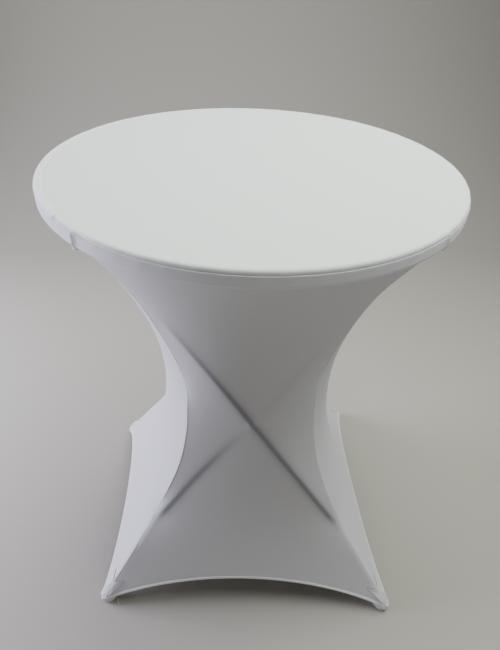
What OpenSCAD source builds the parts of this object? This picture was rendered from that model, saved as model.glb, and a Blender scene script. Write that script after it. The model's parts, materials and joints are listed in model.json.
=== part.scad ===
// Folding round standing table in a fitted stretch cover.
// X runs left to right across the scissor frame, Y from the front face to the back, Z up.
// The origin is on the floor, under the centre of the table top. All sizes are in millimetres.

/* [Table] */
// Height of the covered table top above the floor
table_h = 1100; // [1050:5:1160]
// Diameter of the covered table top
cover_d = 800; // [760:5:900]
// Thickness of the table board
board_t = 28; // [22:1:34]
// Width of the moulded edging seen from above
trim_w = 8; // [6:1:12]
// Radius of the edging's upper roll
trim_top_r = 8; // [5:0.5:10]
// Radius of the edging's lower roll
trim_low_r = 5; // [3:0.5:8]

/* [Frame] */
// Outside diameter of the leg and rail tube
tube_d = 25; // [22:1:28]
// Wall of the leg and rail tube
tube_wall = 1.5; // [1:0.1:2.5]
// Outside diameter of the lower cross tubes
brace_d = 20; // [16:1:22]
// Distance of each top rail from the middle
rail_x = 245; // [200:5:280]
// Distance of each foot from the middle, left and right
foot_x = 370; // [340:5:375]
// Height of the centre of a leg's end
foot_z = 16; // [14:1:22]
// Half the depth of the outer frame, above its knees
outer_y = 240; // [220:5:260]
// Half the depth of the outer frame, at its feet
outer_foot_y = 340; // [300:5:350]
// Gap between the outer and inner legs where they cross
leg_gap = 5; // [4:0.5:8]
// Half the depth of the inner frame, at its feet
inner_foot_y = 290; // [270:5:300]
// Height of the knees, where the legs splay to the front and back
knee_z = 258; // [230:2:300]
// How far the knee knuckles stand proud of the tube
knuckle = 1.5; // [1:0.5:3]
// Where the outer cross tube is, as a share of the way from the crossing down to the knee
outer_brace_share = 0.785; // [0.6:0.005:0.82]
// Where the inner cross tube is, as a share of the way from the crossing down to the knee
inner_brace_share = 0.74; // [0.6:0.005:0.82]
// How far a top rail stands past its legs
rail_overhang = 3; // [2:0.5:4]

/* [Fittings] */
// Thickness of the bracket plates
plate_t = 4; // [3:0.5:6]
// Wall of the hinge loops and snap clips
loop_wall = 4; // [3:0.5:6]
// Width of a hinge loop or snap clip along the rail
loop_len = 30; // [20:1:40]
// Length of a bracket plate along the rail
plate_len = 72; // [62:1:90]
// Distance of the brackets from the middle, front and back
bracket_y = 120; // [80:5:150]
// Diameter of the bracket screws
screw_d = 5; // [4:0.5:6]
// Depth of the bracket screws in the board
screw_depth = 15; // [10:1:18]
// Diameter of the crossing bolts
bolt_d = 8; // [6:1:10]
// Radius of the rubber foot caps
cap_r = 16; // [15:0.5:18]
// Length of the rubber foot caps up the leg
cap_len = 32; // [25:1:40]

/* [Cover] */
// Thickness of the stretch fabric
cloth_t = 1; // [0.6:0.1:1.4]
// Width of the strip between the top panel's seam and the table's edge
seam_in = 12; // [8:1:20]
// Half the width between the front seams at the waist
waist_seam_x = 137; // [120:1:150]
// Half the width of the cover at the waist
waist_x = 206; // [190:1:230]
// Height of the front hem's middle
front_hem_z = 70; // [50:2:100]
// Height of the side hem's middle, on the outer frame's side
right_hem_z = 52; // [40:2:90]
// Height of the side hem's middle, on the inner frame's side
left_hem_z = 76; // [50:2:100]
// Height of the hem at its corners, above the foot pockets
corner_hem_z = 66; // [60:1:80]
// Length of the foot pockets up the leg
pocket_len = 36; // [30:1:40]

/* [Hidden] */
$fn = 64;

// Clearances
cloth_gap = 0.4;
rail_gap = 0.5;
bolt_gap = 0.05;
spacer_gap = 0.3;
pocket_gap = 1.3;

// Table top
board_top = table_h - cloth_t;
board_low = board_top - board_t;
board_r = cover_d / 2 - cloth_t;
core_r = board_r - trim_w;

// Frame
tube_r = tube_d / 2;
bore_r = tube_r - tube_wall;
brace_r = brace_d / 2;
loop_r = tube_r + rail_gap + loop_wall;
rail_z = board_low - loop_r;
inner_y = outer_y - tube_d - leg_gap;
leg_slope = (rail_x + foot_x) / (rail_z - foot_z);
lean = atan(leg_slope);
cross_z = rail_z - rail_x / leg_slope;
bolt_head_t = 3;
bolt_head_r = bolt_d;
nut_t = 6;
nut_r = 0.8 * bolt_d;
spacer_r = 1.25 * bolt_d;

function leg_x(z) = leg_slope * (cross_z - z);
function rail_point(side, y) = [-side * rail_x, y, rail_z];
function knee_point(side, y) = [side * leg_x(knee_z), y, knee_z];
function foot_point(side, y) = [side * foot_x, y, foot_z];
function unit(v) = v / norm(v);

// Cover
cloth_y = outer_y + tube_r + bolt_head_t + cloth_gap + cloth_t;
rim_z = board_low - cloth_gap;
rim_r = board_r - 0.5;
seam_turn = 45;
corner_out = 24;
knee_out = 21;

// Turns the children's Z axis from a towards b, and puts their origin on a.
module aim(a, b) {
    d = b - a;
    translate(a) rotate([0, atan2(norm([d.x, d.y]), d.z), atan2(d.y, d.x)]) children();
}

// A true cylinder between two points.
module rod(a, b, r) {
    aim(a, b) cylinder(r = r, h = norm(b - a));
}

// A rod with a round end at a, as one turned solid.
module round_rod(a, b, r) {
    aim(a, b) rotate_extrude() intersection() {
        union() {
            circle(r);
            square([r, norm(b - a)]);
        }
        translate([0, -r]) square([r, norm(b - a) + r]);
    }
}

// A bar from a to c by way of b, with a knuckle that stands a little proud where the two rods meet.
module kneed_bar(a, b, c, r, proud) {
    rod(a, b, r);
    rod(b, c, r);
    translate(b) sphere(r + proud);
}

// A rod along Y, centred on y = 0.
module cross_rod(x, z, r, length) {
    translate([x, 0, z]) rotate([90, 0, 0]) cylinder(r = r, h = length, center = true);
}

// A point a given distance past b on the way from a to b.
function beyond(a, b, extra) = b + unit(b - a) * extra;

module front_leg(side, y, foot_y) {
    top = rail_point(side, -y);
    knee = knee_point(side, -y);
    foot = foot_point(side, -foot_y);
    start = top + unit(knee - top) * 3;
    difference() {
        kneed_bar(start, knee, foot, tube_r, knuckle);
        kneed_bar(beyond(knee, top, tube_d), knee, beyond(knee, foot, 1), bore_r, knuckle - 0.5);
        cross_rod(top.x, top.z, tube_r, 4 * outer_y);
        cross_rod(0, cross_z, bolt_d / 2 + bolt_gap, 4 * outer_y);
    }
}

module rail(side, y) {
    length = 2 * (y + tube_r + rail_overhang - plug_lip);
    difference() {
        cross_rod(-side * rail_x, rail_z, tube_r, length);
        cross_rod(-side * rail_x, rail_z, bore_r, length + 2);
    }
}

plug_lip = 2;
plug_len = 12;

module rail_plugs(side, y) {
    end = y + tube_r + rail_overhang;
    for (s = [-1, 1])
        translate([-side * rail_x, s * end, rail_z])
            rotate([90 * s, 0, 0]) {
                cylinder(r = tube_r, h = plug_lip);
                cylinder(r = bore_r, h = plug_lip + plug_len);
            }
}

module brace(side, y, share) {
    z = mix(cross_z, knee_z, share);
    x = side * leg_x(z);
    difference() {
        cross_rod(x, z, brace_r, 2 * y);
        cross_rod(x, z, brace_r - tube_wall, 2 * y + 2);
        for (e = [-1, 1])
            rod(rail_point(side, e * y), knee_point(side, e * y), tube_r);
    }
}

module foot_cap(side, y, knee_y) {
    knee = knee_point(side, knee_y);
    foot = foot_point(side, y);
    color("dimgray") difference() {
        intersection() {
            round_rod(foot, foot + unit(knee - foot) * cap_len, cap_r);
            translate([foot.x - 50, foot.y - 50, cloth_t + 0.3]) cube(100);
        }
        rod(foot, beyond(foot, knee, 1), tube_r);
    }
}

// A pocket is a fabric cup that wraps a capped foot and lies flat on the floor.
module foot_pocket(side, y, knee_y) {
    knee = knee_point(side, knee_y);
    foot = foot_point(side, y);
    inner_r = cap_r + pocket_gap;
    top = foot + unit(knee - foot) * pocket_len;
    color("whitesmoke") intersection() {
        difference() {
            round_rod(foot, top, inner_r + cloth_t);
            intersection() {
                round_rod(foot, beyond(foot, top, 1), inner_r);
                translate([foot.x - 60, foot.y - 60, cloth_t]) cube(120);
            }
        }
        translate([foot.x - 60, foot.y - 60, 0]) cube(120);
    }
}

// Table top

// Half section of the table's edge, rolled over at the top and at the bottom.
module edge_section(grow) {
    r = board_r + grow;
    high = board_top + grow;
    low = board_low;
    top_r = trim_top_r + grow;
    translate([0, low]) square([r - trim_low_r, 2 * trim_low_r]);
    translate([r - trim_low_r, low + trim_low_r]) circle(trim_low_r);
    translate([0, low + trim_low_r]) square([r, high - low - trim_low_r - top_r]);
    translate([0, low + trim_low_r]) square([r - top_r, high - low - trim_low_r]);
    translate([r - top_r, high - top_r]) circle(top_r);
}

module table_board() {
    color("burlywood") difference() {
        translate([0, 0, board_low]) cylinder(r = core_r, h = board_t, $fn = 180);
        at_screws() translate([0, 0, board_low - 1]) cylinder(r = screw_d / 2, h = screw_depth + 1);
    }
}

module edge_trim() {
    color("gray") rotate_extrude($fn = 180) difference() {
        edge_section(0);
        translate([-1, board_low - 1]) square([core_r + 1, board_t + 2]);
    }
}

// Brackets under the table top

screw_y = plate_len / 2 - 10;

module at_screws() {
    for (x = [-rail_x, rail_x], y = [-bracket_y, bracket_y], s = [-1, 1])
        translate([x, y + s * screw_y, 0]) children();
}

module bracket_body(x, y, r) {
    translate([x - loop_r, y - plate_len / 2, board_low - plate_t])
        cube([2 * loop_r, plate_len, plate_t]);
    translate([x, y, rail_z]) rotate([90, 0, 0]) cylinder(r = r, h = loop_len, center = true);
}

module bracket_bore(x, y) {
    translate([x, y, rail_z]) rotate([90, 0, 0])
        cylinder(r = tube_r + rail_gap, h = loop_len + 2, center = true);
    for (s = [-1, 1])
        translate([x, y + s * screw_y, board_low - plate_t]) {
            translate([0, 0, -1]) cylinder(r = screw_d / 2, h = plate_t + 2);
            screw_head();
        }
}

// The screws are countersunk, because the sliding rail passes just under the plates.
module screw_head() {
    cylinder(r1 = screw_d, r2 = screw_d / 2, h = screw_d / 2);
}

module hinge_bracket(y) {
    color("silver") difference() {
        bracket_body(-rail_x, y, loop_r);
        bracket_bore(-rail_x, y);
    }
}

// The snap clip is a hook whose mouth faces the hinge, so the rail slides in as the legs open.
module snap_clip(y) {
    color("gainsboro") difference() {
        bracket_body(rail_x, y, loop_r);
        bracket_bore(rail_x, y);
        translate([rail_x - 2 * loop_r, y - loop_len, rail_z - tube_r - rail_gap])
            cube([2 * loop_r, 2 * loop_len, 2 * (tube_r + rail_gap)]);
        translate([rail_x - 2 * loop_r, y - loop_len, rail_z - 2 * loop_r])
            cube([2 * loop_r - tube_r / 2, 2 * loop_len, 2 * loop_r]);
    }
}

module bracket_screws() {
    color("darkgray") at_screws() translate([0, 0, board_low - plate_t]) {
        screw_head();
        cylinder(r = screw_d / 2, h = plate_t + screw_depth);
    }
}

// Fittings at the crossing

module along_cross(y) {
    translate([0, y, cross_z]) rotate([90, 0, 0]) children();
}

module pivot_bolts() {
    color("silver") for (m = [0, 1]) mirror([0, m, 0]) {
        head_y = -(outer_y + tube_r);
        end_y = -(inner_y - tube_r - spacer_gap - nut_t - 1);
        along_cross(head_y) cylinder(r = bolt_head_r, h = bolt_head_t);
        along_cross(end_y) cylinder(r = bolt_d / 2, h = end_y - head_y);
    }
}

module pivot_spacers() {
    color("white") for (m = [0, 1]) mirror([0, m, 0])
        along_cross(-(inner_y + tube_r + spacer_gap)) difference() {
            cylinder(r = spacer_r, h = leg_gap - 2 * spacer_gap);
            translate([0, 0, -1]) cylinder(r = bolt_d / 2 + bolt_gap, h = leg_gap + 2);
        }
}

module pivot_nuts() {
    color("silver") for (m = [0, 1]) mirror([0, m, 0])
        along_cross(-(inner_y - tube_r - spacer_gap - nut_t)) difference() {
            cylinder(r = nut_r, h = nut_t, $fn = 6);
            translate([0, 0, -1]) cylinder(r = bolt_d / 2 + 0.02, h = nut_t + 2);
        }
}

// Cover

module cover_top_panel() {
    color("whitesmoke")
        translate([0, 0, board_top]) cylinder(r = board_r - seam_in - 0.5, h = cloth_t, $fn = 180);
}

module cover_rim_band() {
    color("white") rotate_extrude($fn = 180) difference() {
        edge_section(cloth_t);
        edge_section(0);
        translate([-1, board_low - 1]) square([board_r - seam_in + 1, board_t + cloth_t + 2]);
        translate([-1, board_low - 1]) square([board_r + cloth_t + 2, trim_low_r + 1]);
    }
}

// A smooth curve through a list of points, t from 0 to 1.
function curve(p, t) =
    let (n = len(p) - 1, i = min(floor(t * n), n - 1), f = t * n - i,
         a = i > 0 ? p[i - 1] : 2 * p[0] - p[1], b = p[i], c = p[i + 1],
         d = i < n - 1 ? p[i + 2] : 2 * p[n] - p[n - 1])
    b + f / 2 * ((c - a) + f * ((2 * a - 5 * b + 4 * c - d) + f * (3 * b - a - 3 * c + d)));

function mix(a, b, t) = a + (b - a) * t;
function flare_z(t) = mix(rim_z, cross_z, t);

// A front seam, from the rim to the hem's corner. splay is its leg's depth at the knee and at the foot.
function seam(side, splay) =
    let (rim = [rim_r * cos(seam_turn), rim_r * sin(seam_turn)], waist = [waist_seam_x, cloth_y],
         low_z = mix(cross_z, knee_z, 0.5),
         end_t = (knee_z - corner_hem_z) / (knee_z - foot_z),
         knee_y = max(cloth_y - 12, splay[0] + tube_r + 11))
    [for (p = [
        [rim.x, rim.y, rim_z],
        [mix(waist.x, rim.x, 0.59), mix(waist.y, rim.y, 0.65), flare_z(0.24)],
        [mix(waist.x, rim.x, 0.36), mix(waist.y, rim.y, 0.40), flare_z(0.42)],
        [mix(waist.x, rim.x, 0.17), mix(waist.y, rim.y, 0.17), flare_z(0.60)],
        [waist.x, waist.y, flare_z(0.86)],
        [waist.x + 8, waist.y, mix(cross_z, low_z, 0.35)],
        [waist.x + 0.3 * leg_x(low_z), cloth_y, low_z],
        [leg_x(knee_z) + knee_out, knee_y, knee_z],
        [mix(leg_x(knee_z), foot_x, end_t / 2) + knee_out, mix(splay[0], splay[1], end_t / 2) + corner_out,
         mix(knee_z, foot_z, end_t / 2)],
        [mix(leg_x(knee_z), foot_x, end_t) + knee_out, mix(splay[0], splay[1], end_t) + corner_out,
         corner_hem_z]])
        [side * p.x, -p.y, p.z]];

right_seam = seam(1, [outer_y, outer_foot_y]);
left_seam = seam(-1, [inner_y, inner_foot_y]);
front_seam_y = -(right_seam[9].y + left_seam[9].y) / 2;

// The middle of the front panel.
front_middle = [for (p = [
    [rim_r, rim_z], [mix(cloth_y, rim_r, 0.56), flare_z(0.24)], [mix(cloth_y, rim_r, 0.30), flare_z(0.42)],
    [mix(cloth_y, rim_r, 0.13), flare_z(0.60)], [cloth_y + 3, flare_z(0.86)],
    [cloth_y, mix(cross_z, knee_z, 0.175)], [cloth_y, mix(cross_z, knee_z, 0.5)], [cloth_y + 1, knee_z],
    [cloth_y + 8, mix(knee_z, front_hem_z, 0.5)], [front_seam_y - 28, front_hem_z]])
    [0, -p[0], p[1]]];

// The middle of a side panel.
function side_middle(side, hem_z, hem_x) = [for (p = [
    [rim_r, rim_z], [mix(waist_x, rim_r, 0.64), flare_z(0.24)], [mix(waist_x, rim_r, 0.38), flare_z(0.42)],
    [mix(waist_x, rim_r, 0.20), flare_z(0.60)], [mix(waist_x, rim_r, 0.05), flare_z(0.86)],
    for (t = [0.15, 0.33, 0.66, 0.83, 1])
        [mix(waist_x, hem_x, pow(t, 1.7)), mix(cross_z, hem_z, t)]])
    [side * p[0], 0, p[1]]];

right_middle = side_middle(1, right_hem_z, foot_x - 16);
left_middle = side_middle(-1, left_hem_z, foot_x - 24);

function flip(p) = [for (q = p) [q.x, -q.y, q.z]];

// A point of a panel between two seams: u runs across it and v down it.
function panel_point(a, b, m, turn_a, turn_b, u, v) =
    let (pa = curve(a, v), pb = curve(b, v), pm = curve(m, v), fade = (1 - v) * (1 - v) * (1 - v),
         turn = mix(turn_a, turn_b, u), rim = [rim_r * cos(turn), rim_r * sin(turn), rim_z],
         bow = (rim - mix(a[0], b[0], u)) * fade, mid_bow = (m[0] - (a[0] + b[0]) / 2) * fade)
    mix(pa, pb, u) + bow + 4 * u * (1 - u) * (pm - (pa + pb) / 2 - mid_bow);

panel_rows = 30;
seam_room = 0.003;

// A panel is a closed shell: the outer grid, the same grid one cloth inwards, and a wall round both.
module panel(a, b, m, turn_a, turn_b, columns) {
    nu = columns;
    nv = panel_rows;
    grid = [for (j = [0 : nv], i = [0 : nu])
        panel_point(a, b, m, turn_a, turn_b, mix(seam_room, 1 - seam_room, i / nu), j / nv)];
    at = function(i, j) grid[min(max(j, 0), nv) * (nu + 1) + min(max(i, 0), nu)];
    inner = [for (j = [0 : nv], i = [0 : nu])
        at(i, j) - cloth_t * unit(cross(at(i, j + 1) - at(i, j - 1), at(i + 1, j) - at(i - 1, j)))];
    n = len(grid);
    id = function(i, j) j * (nu + 1) + i;
    border = [for (i = [0 : nu - 1]) id(i, 0), for (j = [0 : nv - 1]) id(nu, j),
              for (i = [nu : -1 : 1]) id(i, nv), for (j = [nv : -1 : 1]) id(0, j)];
    faces = [for (j = [0 : nv - 1], i = [0 : nu - 1])
        let (p = id(i, j), q = id(i + 1, j), r = id(i + 1, j + 1), s = id(i, j + 1))
        each [[p, q, r], [p, r, s], [n + p, n + r, n + q], [n + p, n + s, n + r]]];
    walls = [for (k = [0 : len(border) - 1])
        let (p = border[k], q = border[(k + 1) % len(border)]) each [[q, p, n + p], [q, n + p, n + q]]];
    color("whitesmoke") polyhedron(concat(grid, inner), concat(faces, walls));
}

module panel_front() { panel(left_seam, right_seam, front_middle, -180 + seam_turn, -seam_turn, 24); }
module panel_right() {
    panel(right_seam, flip(right_seam), right_middle, -seam_turn, seam_turn, 16);
}
module panel_back() {
    panel(flip(right_seam), flip(left_seam), flip(front_middle), seam_turn, 180 - seam_turn, 24);
}
module panel_left() {
    panel(flip(left_seam), left_seam, left_middle, 180 - seam_turn, 180 + seam_turn, 16);
}

module outer_leg_front() { color("silver") front_leg(1, outer_y, outer_foot_y); }
module inner_leg_front() { color("silver") front_leg(-1, inner_y, inner_foot_y); }
module outer_leg_back() { mirror([0, 1, 0]) outer_leg_front(); }
module inner_leg_back() { mirror([0, 1, 0]) inner_leg_front(); }

// Table top and cover
table_board();
edge_trim();
hinge_bracket(-bracket_y);  // hinge_bracket_front
hinge_bracket(bracket_y);  // hinge_bracket_back
snap_clip(-bracket_y);  // snap_clip_front
snap_clip(bracket_y);  // snap_clip_back
bracket_screws();
cover_top_panel();
cover_rim_band();
panel_front();
panel_right();
panel_back();
panel_left();

// Outer frame, hinged to the table top
color("silver") rail(1, outer_y);  // outer_top_rail
color("dimgray") rail_plugs(1, outer_y);  // outer_rail_plugs
outer_leg_front();
outer_leg_back();
color("silver") brace(1, outer_y, outer_brace_share);  // outer_brace
pivot_bolts();
pivot_spacers();
pivot_nuts();
foot_cap(1, -outer_foot_y, -outer_y);  // foot_cap_right_front
foot_cap(1, outer_foot_y, outer_y);  // foot_cap_right_back
foot_pocket(1, -outer_foot_y, -outer_y);  // pocket_right_front
foot_pocket(1, outer_foot_y, outer_y);  // pocket_right_back

// Inner frame, bolted to the outer frame at the crossing
color("silver") rail(-1, inner_y);  // inner_top_rail
color("dimgray") rail_plugs(-1, inner_y);  // inner_rail_plugs
inner_leg_front();
inner_leg_back();
color("silver") brace(-1, inner_y, inner_brace_share);  // inner_brace
foot_cap(-1, -inner_foot_y, -inner_y);  // foot_cap_left_front
foot_cap(-1, inner_foot_y, inner_y);  // foot_cap_left_back
foot_pocket(-1, -inner_foot_y, -inner_y);  // pocket_left_front
foot_pocket(-1, inner_foot_y, inner_y);  // pocket_left_back
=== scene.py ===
"""Looks of a white stretch cover on a folding standing table.

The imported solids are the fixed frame: table top, scissor frame, foot caps. This script sews the cover
over them, piece by piece: top panel, rim band, four skirt panels, seams, hems, foot pockets, stitches.
The skirt is a net of springs pulled between the rim, the seams and the feet, and resting on the tubes.
All lengths are in metres. The table's front is -Y and its right is +X.
"""
import sys

import json
import logging
import math
from collections.abc import Sequence
from dataclasses import dataclass
from enum import Enum
from typing import ClassVar

import bmesh
import bpy
import numpy as np
from mathutils import Matrix, Vector

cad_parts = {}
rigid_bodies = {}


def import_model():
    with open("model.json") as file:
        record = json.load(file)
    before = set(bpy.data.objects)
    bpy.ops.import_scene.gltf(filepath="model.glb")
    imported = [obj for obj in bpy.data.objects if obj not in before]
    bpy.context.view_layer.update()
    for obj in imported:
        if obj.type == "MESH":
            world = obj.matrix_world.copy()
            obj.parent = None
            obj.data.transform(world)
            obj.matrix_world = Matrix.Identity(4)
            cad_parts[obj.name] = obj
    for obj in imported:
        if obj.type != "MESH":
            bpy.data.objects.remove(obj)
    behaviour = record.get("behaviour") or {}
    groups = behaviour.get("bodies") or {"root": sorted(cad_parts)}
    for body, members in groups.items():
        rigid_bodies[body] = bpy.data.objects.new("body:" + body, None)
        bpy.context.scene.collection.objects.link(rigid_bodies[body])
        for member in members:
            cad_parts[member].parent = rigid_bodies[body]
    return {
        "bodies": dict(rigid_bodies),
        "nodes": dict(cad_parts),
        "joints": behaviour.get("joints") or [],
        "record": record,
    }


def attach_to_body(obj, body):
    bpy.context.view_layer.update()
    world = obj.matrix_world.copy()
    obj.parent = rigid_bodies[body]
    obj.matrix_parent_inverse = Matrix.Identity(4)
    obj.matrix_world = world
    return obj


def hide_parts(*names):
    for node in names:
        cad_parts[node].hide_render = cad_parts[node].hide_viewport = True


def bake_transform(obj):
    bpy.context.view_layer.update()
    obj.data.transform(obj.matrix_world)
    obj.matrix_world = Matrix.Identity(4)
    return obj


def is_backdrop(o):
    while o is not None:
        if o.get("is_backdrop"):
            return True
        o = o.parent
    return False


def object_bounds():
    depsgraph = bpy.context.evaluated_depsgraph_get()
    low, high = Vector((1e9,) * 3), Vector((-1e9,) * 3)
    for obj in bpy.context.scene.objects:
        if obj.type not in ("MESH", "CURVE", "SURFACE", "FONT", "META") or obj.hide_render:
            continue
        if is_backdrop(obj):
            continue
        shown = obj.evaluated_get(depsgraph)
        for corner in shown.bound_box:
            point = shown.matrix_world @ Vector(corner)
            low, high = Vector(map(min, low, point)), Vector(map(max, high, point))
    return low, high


log = logging.getLogger("stretch_cover")

# Sizes of the covered table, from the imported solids.
TOP_Z = 1.100
TOP_R = 0.400
# The cloth rolls over the top's edge, then turns in under it from a height.
ROLL_R = 0.0055
TUCK_R = 0.006
TUCK_Z = 1.076
CLOTH_T = 0.0008
TUBE_R = 0.0125
# Distance from the middle and height, of each top rail and of the end of each leg's axis.
RAIL = (0.245, 1.054)
FOOT = (0.370, 0.016)
KNEE_Z = 0.258
# Depth of the legs of each frame, above the knee and at the foot, by the side its feet are on.
DEPTHS = {1: (0.240, 0.340), -1: (0.210, 0.290)}
CAP_R = 0.0172
CAP_LEN = 0.034
BOLT_PROUD = 0.0027
LEG_SLOPE = (RAIL[0] + FOOT[0]) / (RAIL[1] - FOOT[1])
CROSS_Z = RAIL[1] - RAIL[0] / LEG_SLOPE


def leg_x(z: float) -> float:
    """Returns how far a leg's axis stands off the crossing, to its foot's side, at height z."""
    return LEG_SLOPE * (CROSS_Z - z)


class Body(str, Enum):
    """CAD bodies that pieces ride on."""

    TOP = "table_top"
    OUTER = "outer_frame"
    INNER = "inner_frame"


class Slot(str, Enum):
    """Material slots of the record."""

    BOARD = "board"
    EDGING = "edging"
    ZINC = "zinc_steel"
    CLIP = "clip_nylon"
    FASTENER = "fastener_steel"
    TOP = "stretch_top"
    RIM = "stretch_rim"
    SKIRT = "stretch_skirt"
    POCKET = "stretch_pocket"
    PLUG = "plug_plastic"
    SPACER = "spacer_nylon"
    CAP = "cap_rubber"
    TUBE = "coated_tube"


# --------------------------------------------------------------------------------------------------
# Materials


def linear(colour: str) -> tuple[float, float, float, float]:
    """Converts an sRGB colour to the linear values that shaders take.

    Args:
        colour: Six hex digits.

    Returns:
        Linear red, green, blue and an alpha of 1.
    """
    parts = [int(colour[i : i + 2], 16) / 255 for i in (0, 2, 4)]
    red, green, blue = (c / 12.92 if c <= 0.04045 else ((c + 0.055) / 1.055) ** 2.4 for c in parts)
    return red, green, blue, 1.0


def add_node(tree: bpy.types.NodeTree, kind: str, sockets: dict[str, object] | None = None, **settings):
    """Adds a shader node, sets it up and links it.

    Args:
        tree: Node tree to add to.
        kind: Node type, without its ShaderNode prefix.
        sockets: Input name or index to a value, or to the output socket that feeds it.
        **settings: Attributes of the node.

    Returns:
        The new node.
    """
    node = tree.nodes.new(f"ShaderNode{kind}")
    for key, value in settings.items():
        setattr(node, key, value)
    for key, value in (sockets or {}).items():
        if isinstance(value, bpy.types.NodeSocket):
            tree.links.new(value, node.inputs[key])
        else:
            node.inputs[key].default_value = value
    return node


@dataclass(frozen=True)
class Finish:
    """A plain finish with a fine surface grain.

    Attributes:
        name: Real material and process.
        colour: sRGB hex digits.
        roughness: Microfacet roughness.
        metallic: 1 for bare metal.
        grain: Size of one grain, in metres.
        relief: Height of the grain, in metres.
        mottle: Share by which the colour varies.
    """

    name: str
    colour: str
    roughness: float
    metallic: float = 0.0
    grain: float = 0.0008
    relief: float = 0.00002
    mottle: float = 0.04

    def build(self) -> bpy.types.Material:
        """Makes the node material, once for each name."""
        found = bpy.data.materials.get(self.name)
        if found:
            return found
        material = bpy.data.materials.new(self.name)
        material.use_nodes = True
        tree = material.node_tree
        tree.nodes.clear()
        shader = add_node(tree, "BsdfPrincipled", {
            "Base Color": linear(self.colour), "Roughness": self.roughness, "Metallic": self.metallic})
        output = add_node(tree, "OutputMaterial")
        tree.links.new(self.surface(tree, shader), output.inputs["Surface"])
        material.diffuse_color = linear(self.colour)
        return material

    def surface(self, tree: bpy.types.NodeTree, shader: bpy.types.Node) -> bpy.types.NodeSocket:
        """Adds the finish's pattern to the shader and returns what feeds the output."""
        place = add_node(tree, "TexCoord").outputs["Object"]
        # A noise cell is about 1/scale of a metre, so the scale is one over the grain.
        noise = add_node(tree, "TexNoise", {"Vector": place, "Scale": 1 / self.grain, "Detail": 3.0})
        self.tint(tree, shader, noise.outputs["Fac"])
        bump = add_node(tree, "Bump", {
            "Strength": 0.5, "Distance": self.relief, "Height": noise.outputs["Fac"]})
        tree.links.new(bump.outputs["Normal"], shader.inputs["Normal"])
        return shader.outputs["BSDF"]

    def tint(self, tree: bpy.types.NodeTree, shader: bpy.types.Node, factor: bpy.types.NodeSocket) -> None:
        """Varies the colour by the mottle share as factor goes from 0 to 1."""
        base = Vector(linear(self.colour)[:3])
        mix = add_node(tree, "Mix", {0: factor}, data_type="RGBA")
        mix.inputs[6].default_value = (*(base * (1 - self.mottle)), 1.0)
        mix.inputs[7].default_value = (*(base * (1 + self.mottle)), 1.0)
        tree.links.new(mix.outputs[2], shader.inputs["Base Color"])


@dataclass(frozen=True)
class WoodFinish(Finish):
    """Pressed board under a printed laminate: long streaks of grain along X."""

    def surface(self, tree: bpy.types.NodeTree, shader: bpy.types.Node) -> bpy.types.NodeSocket:
        """Streaks are 12 times as long as they are wide."""
        place = add_node(tree, "TexCoord").outputs["Object"]
        stretched = add_node(tree, "Mapping", {"Vector": place, "Scale": (1 / 12, 1.0, 1.0)})
        noise = add_node(tree, "TexNoise", {
            "Vector": stretched.outputs["Vector"], "Scale": 1 / self.grain, "Detail": 5.0})
        self.tint(tree, shader, noise.outputs["Fac"])
        return shader.outputs["BSDF"]


@dataclass(frozen=True)
class KnitFinish(Finish):
    """Warp-knitted polyester and elastane.

    Attributes:
        wale: Spacing of the knit's ribs, in metres.
        glow: Share of the light that the cloth lets through.
        shadow: sRGB hex digits of the painted shadow that a tube close under the cloth casts on it.
    """

    wale: float = 0.0007
    glow: float = 0.25
    shadow: str = "a0a0a8"

    def surface(self, tree: bpy.types.NodeTree, shader: bpy.types.Node) -> bpy.types.NodeSocket:
        """Ribs and courses come from the UV map, which is in metres along the cloth."""
        place = add_node(tree, "UVMap", uv_map="cloth").outputs["UV"]
        # A wave texture repeats every pi/10 of a unit at scale 1, so the scale is pi/10 over the spacing.
        ribs = add_node(tree, "TexWave", {
            "Vector": place, "Scale": math.pi / 10 / self.wale}, bands_direction="X")
        courses = add_node(tree, "TexWave", {
            "Vector": place, "Scale": math.pi / 10 / (self.wale * 1.3)}, bands_direction="Y")
        # Uneven stretch: soft patches about 60 mm across.
        slack = add_node(tree, "TexNoise", {
            "Vector": add_node(tree, "TexCoord").outputs["Object"], "Scale": 1 / 0.06, "Detail": 2.0})
        loops = add_node(tree, "Math", {
            0: ribs.outputs["Fac"], 1: courses.outputs["Fac"]}, operation="MULTIPLY")
        bump = add_node(tree, "Bump", {
            "Strength": 0.35, "Distance": self.relief, "Height": loops.outputs["Value"]})
        soft = add_node(tree, "Bump", {
            "Strength": 0.25, "Distance": 0.0006, "Height": slack.outputs["Fac"],
            "Normal": bump.outputs["Normal"]})
        tree.links.new(soft.outputs["Normal"], shader.inputs["Normal"])
        # Painted shadow of the tubes: the colour goes over to the shadow colour as the attribute rises, and
        # the translucent part takes the same painted colour.
        painted_shadow_factor = add_node(tree, "Attribute", attribute_name="show_through").outputs["Fac"]
        mix = add_node(tree, "Mix", {0: painted_shadow_factor}, data_type="RGBA")
        mix.inputs[6].default_value = linear(self.colour)
        mix.inputs[7].default_value = linear(self.shadow)
        tree.links.new(mix.outputs[2], shader.inputs["Base Color"])
        shader.inputs["Sheen Weight"].default_value = 0.25
        shader.inputs["Sheen Roughness"].default_value = 0.5
        shader.inputs["Specular IOR Level"].default_value = 0.3
        through = add_node(tree, "BsdfTranslucent", {
            "Color": mix.outputs[2], "Normal": soft.outputs["Normal"]})
        both = add_node(tree, "MixShader", {
            0: self.glow, 1: shader.outputs["BSDF"], 2: through.outputs["BSDF"]})
        return both.outputs["Shader"]


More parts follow.
